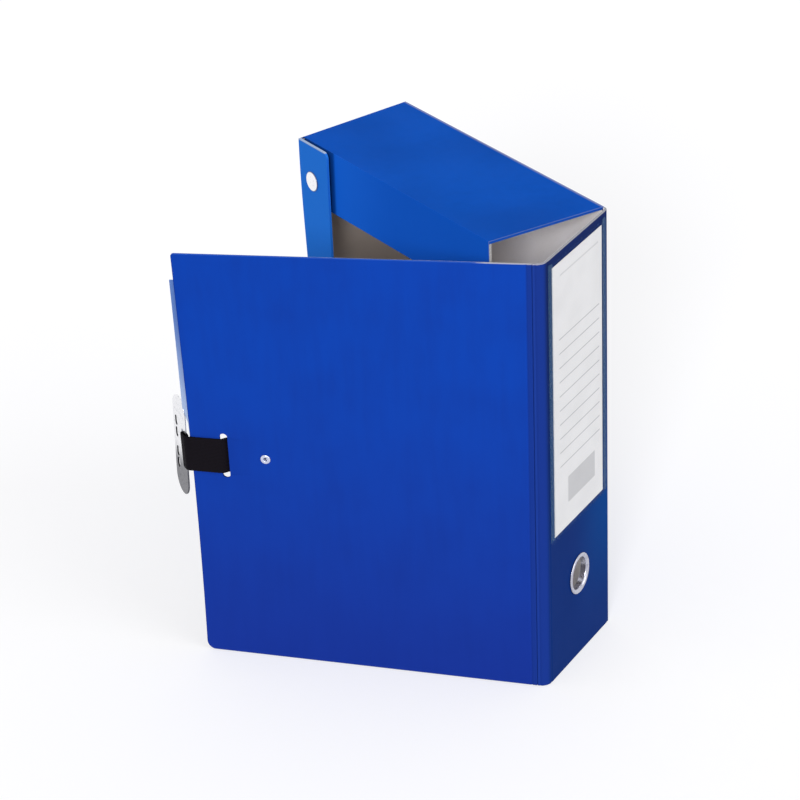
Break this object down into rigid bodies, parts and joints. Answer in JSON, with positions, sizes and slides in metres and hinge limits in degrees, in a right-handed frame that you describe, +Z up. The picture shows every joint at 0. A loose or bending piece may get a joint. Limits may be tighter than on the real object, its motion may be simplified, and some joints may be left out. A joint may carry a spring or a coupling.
{
  "type": "archive storage box",
  "caption": "Upright document storage box of covered board, half open: folded tray, spine with label pocket and finger ring, and a front cover with a strap and metal end plate.",
  "frame": {"origin": "middle of the whole box's footprint at the rest pose, on the surface that it stands on", "axes": "+Z up; the tray's back panel lies along X with the spine fold at its +X end, and the tray's mouth faces -Y"},
  "size_m": [0.3168, 0.2976, 0.35],
  "materials": {
    "tray_board": "blue covering paper outside, grey lining inside, satin",
    "cover_board": "royal blue covering paper outside, grey lining inside, satin",
    "edge_strip": "pale blue strip of thin covered board, satin",
    "clear_film": "clear film, gloss",
    "label_card": "white card with plain grey rules, matt",
    "nickel": "bright nickel plate on pressed steel",
    "webbing": "black woven tape, matt"
  },
  "bodies": {
    "tray": {"back_tray": "tray_board", "top_stud_cap": "nickel", "top_stud_socket": "nickel", "top_stud_ball": "nickel", "top_stud_eyelet": "nickel", "bottom_stud_cap": "nickel", "bottom_stud_socket": "nickel", "bottom_stud_ball": "nickel", "bottom_stud_eyelet": "nickel"},
    "spine": {"spine_panel": "cover_board", "label_pocket": "clear_film", "label_card": "label_card", "finger_ring": "nickel", "finger_ring_washer": "nickel"},
    "cover": {"front_cover": "cover_board", "cover_edge_strip": "edge_strip", "strap": "webbing", "strap_plate": "nickel", "strap_rivet": "nickel", "strap_rivet_washer": "nickel"}
  },
  "joints": [
    {"name": "spine_fold", "type": "hinge", "parent": "tray", "child": "spine", "pos_m": [0.10556, 0.14783, 0], "axis": [0, 0, 1], "range_deg": [-28.4, 61.6]},
    {"name": "cover_fold", "type": "hinge", "parent": "spine", "child": "cover", "pos_m": [0.15472, 0.04822, 0], "axis": [0, 0, 1], "range_deg": [-12.8, 77.2]}
  ]
}
